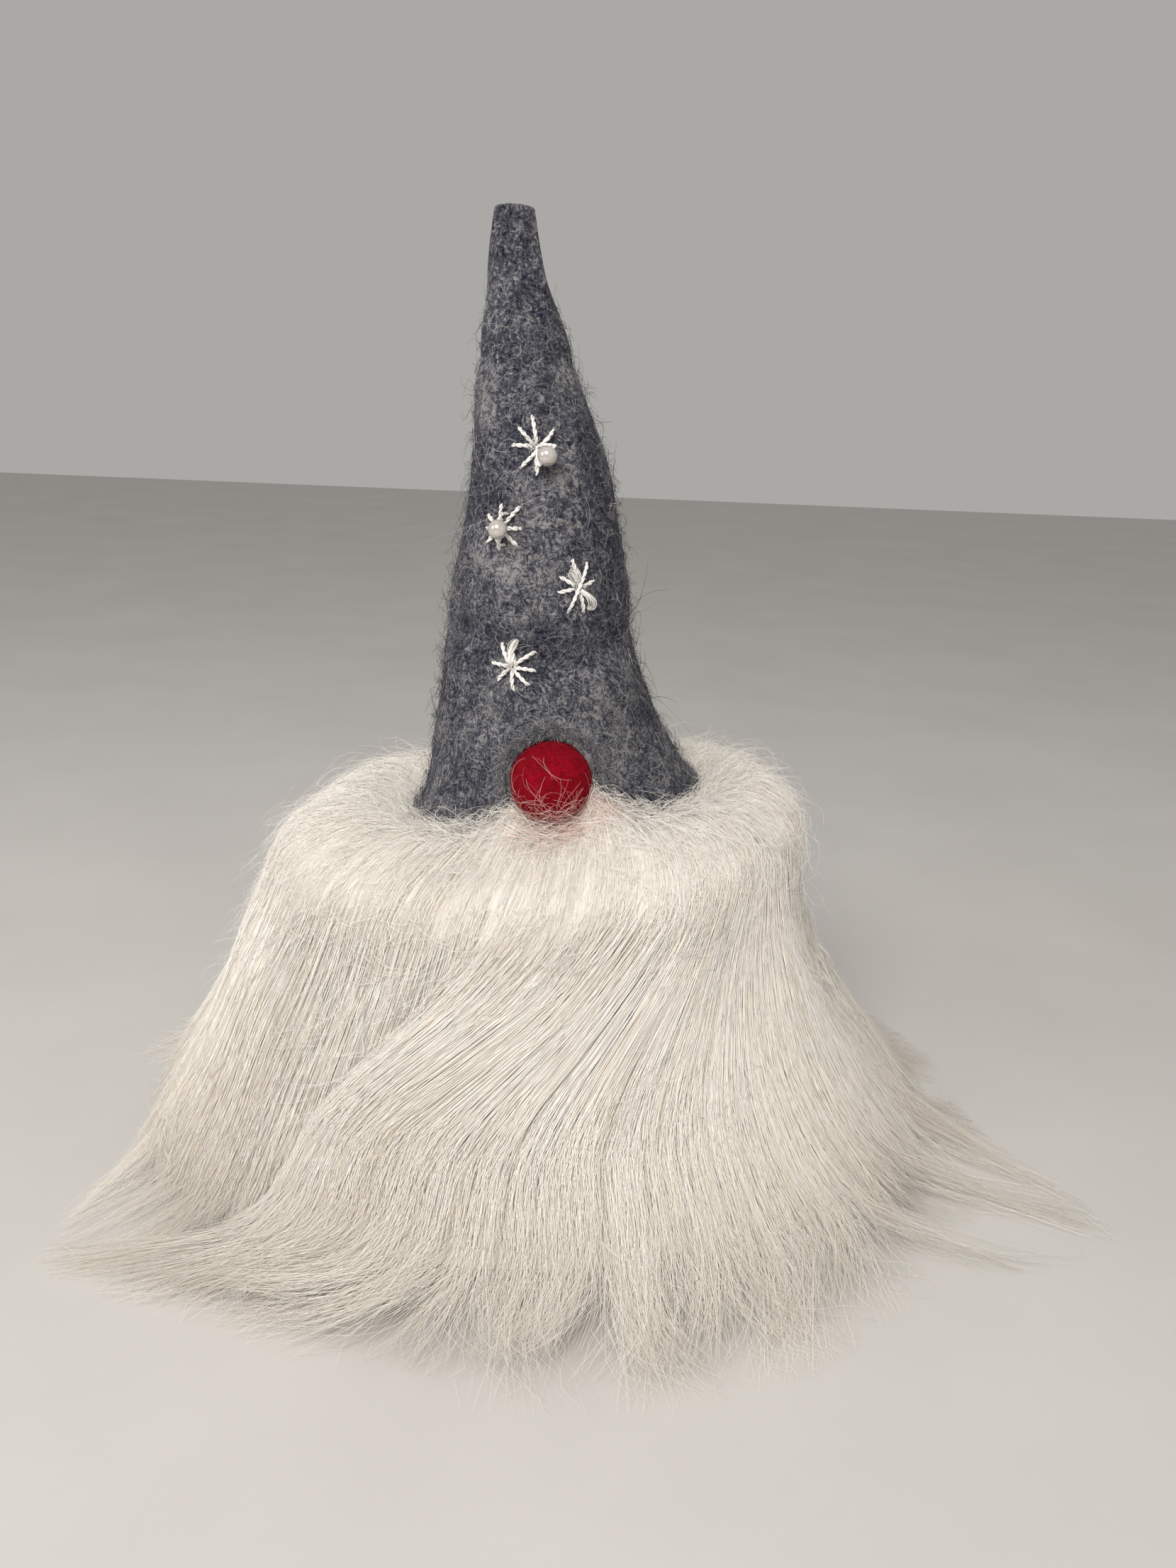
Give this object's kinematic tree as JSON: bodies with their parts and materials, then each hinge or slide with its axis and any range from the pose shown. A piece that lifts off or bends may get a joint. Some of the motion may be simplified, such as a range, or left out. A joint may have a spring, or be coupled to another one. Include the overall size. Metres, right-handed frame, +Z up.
{
  "type": "tomte gnome figurine",
  "caption": "Long-haired gnome figurine: weighted cloth body in a white pelt, round red felt nose and a tall lift-off grey felt hat with embroidered stars and pearl beads.",
  "frame": {"origin": "on the table at the middle of the felt base disc, under the body", "axes": "+Z up along the body, -Y out through the nose, +X to the right seen from the front"},
  "size_m": [0.3107, 0.2842, 0.3],
  "materials": {
    "base_wool": "matte",
    "greyboard": "matte",
    "cotton": "matte",
    "wadding": "matte",
    "twine": "matte",
    "hide": "matte",
    "floss": "matte",
    "white_wool": "matte",
    "red_wool": "matte",
    "hat_wool": "matte",
    "hat_thread": "matte",
    "pearl": "gloss"
  },
  "bodies": {
    "body": {"base_felt": "base_wool", "base_board": "greyboard", "weight_bag": "cotton", "body_sack": "cotton", "body_stuffing": "wadding", "neck_tie": "twine", "pelt_backing": "hide", "pelt_seam_thread": "floss", "fur_coat": "white_wool", "nose_ball": "red_wool", "nose_thread": "floss"},
    "hat": {"hat_shell": "hat_wool", "hat_stuffing": "wadding", "hat_seam_thread": "hat_thread", "star_1": "floss", "star_2": "floss", "star_3": "floss", "star_4": "floss", "pearl_2_thread": "floss", "loose_thread_3": "floss", "loose_thread_4": "floss"},
    "pearl_1_loop": {"pearl_1_loop": "floss"},
    "pearl_1": {"pearl_1": "pearl"},
    "pearl_2": {"pearl_2": "pearl"}
  },
  "joints": [
    {"name": "hat_lift", "type": "slide", "parent": "body", "child": "hat", "axis": [0, 0, 1], "range_m": [0, 0.07]},
    {"name": "pearl_1_swing", "type": "hinge", "parent": "hat", "child": "pearl_1_loop", "pos_m": [-0.01065, -0.02032, 0.23101], "axis": [0, -0.9807, 0.1954], "range_deg": [-50, 36]},
    {"name": "pearl_1_turn", "type": "hinge", "parent": "pearl_1_loop", "child": "pearl_1", "pos_m": [-0.00679, -0.0262, 0.22911], "axis": [0.6157, 0.154, 0.7728], "continuous": true},
    {"name": "pearl_2_turn", "type": "hinge", "parent": "hat", "child": "pearl_2", "pos_m": [-0.0209, -0.02739, 0.2074], "axis": [0.0818, 0.1435, 0.9863], "continuous": true}
  ]
}
